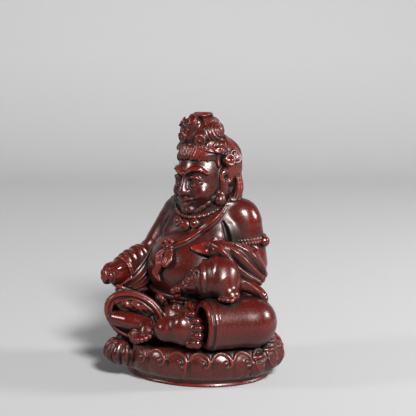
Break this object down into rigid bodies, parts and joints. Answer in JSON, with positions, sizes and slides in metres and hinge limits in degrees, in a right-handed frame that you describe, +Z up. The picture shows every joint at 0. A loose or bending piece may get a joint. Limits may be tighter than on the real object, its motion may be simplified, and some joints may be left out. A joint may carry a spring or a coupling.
{
  "type": "seated god of wealth tea pet",
  "caption": "Small unglazed red clay ornament: a seated pot-bellied god of wealth with a mongoose on a carved lotus base.",
  "frame": {"origin": "middle of the object's outline, on the surface that the base stands on", "axes": "+Z up, -Y the way that the trunk faces, +X towards the figure's own left"},
  "size_m": [0.064, 0.0536, 0.0869],
  "materials": {
    "base": "satin unglazed red clay",
    "skin": "burnished unglazed red clay",
    "cloth": "satin unglazed red clay",
    "ornament": "worn unglazed red clay"
  },
  "bodies": {
    "root": {"lotus_base": "base", "lotus_leaf": "base", "lotus_bud": "base", "leg_left": "cloth", "leg_right": "cloth", "trouser_hem_left": "cloth", "trouser_hem_right": "cloth", "trouser_lining_right": "cloth", "foot_left": "skin", "foot_right": "skin", "conch_shell": "ornament", "trunk": "skin", "head": "skin", "ear_left": "skin", "earring_left": "ornament", "ear_right": "skin", "earring_right": "ornament", "hair_cap": "cloth", "topknot": "cloth", "topknot_knob": "ornament", "hair_curl_left_1": "cloth", "hair_curl_left_2": "cloth", "hair_curl_left_3": "cloth", "hair_curl_right_1": "cloth", "hair_curl_right_2": "cloth", "hair_curl_right_3": "cloth", "brow_fillet": "ornament", "hair_tress": "cloth", "crown_ribbon_left": "cloth", "crown_ribbon_right": "cloth", "beard": "cloth", "mongoose": "skin", "mongoose_tail": "skin", "mongoose_jewels": "ornament", "upper_arm_left": "skin", "forearm_left": "skin", "upper_arm_right": "skin", "forearm_right": "skin", "hand_left": "skin", "held_jewel": "ornament", "hand_right": "skin", "armlet_left": "ornament", "bracelet_right": "ornament", "drape_left": "cloth", "drape_right": "cloth", "sash": "cloth", "sash_knot": "cloth", "necklace": "ornament", "pendant_1": "ornament", "pendant_2": "ornament", "pendant_3": "ornament", "belt": "ornament", "belt_rosette_right": "ornament", "belt_rosette_left": "ornament", "belt_jewel": "ornament", "tassel_right": "ornament", "tassel_left": "ornament", "apron": "cloth"}
  },
  "joints": []
}
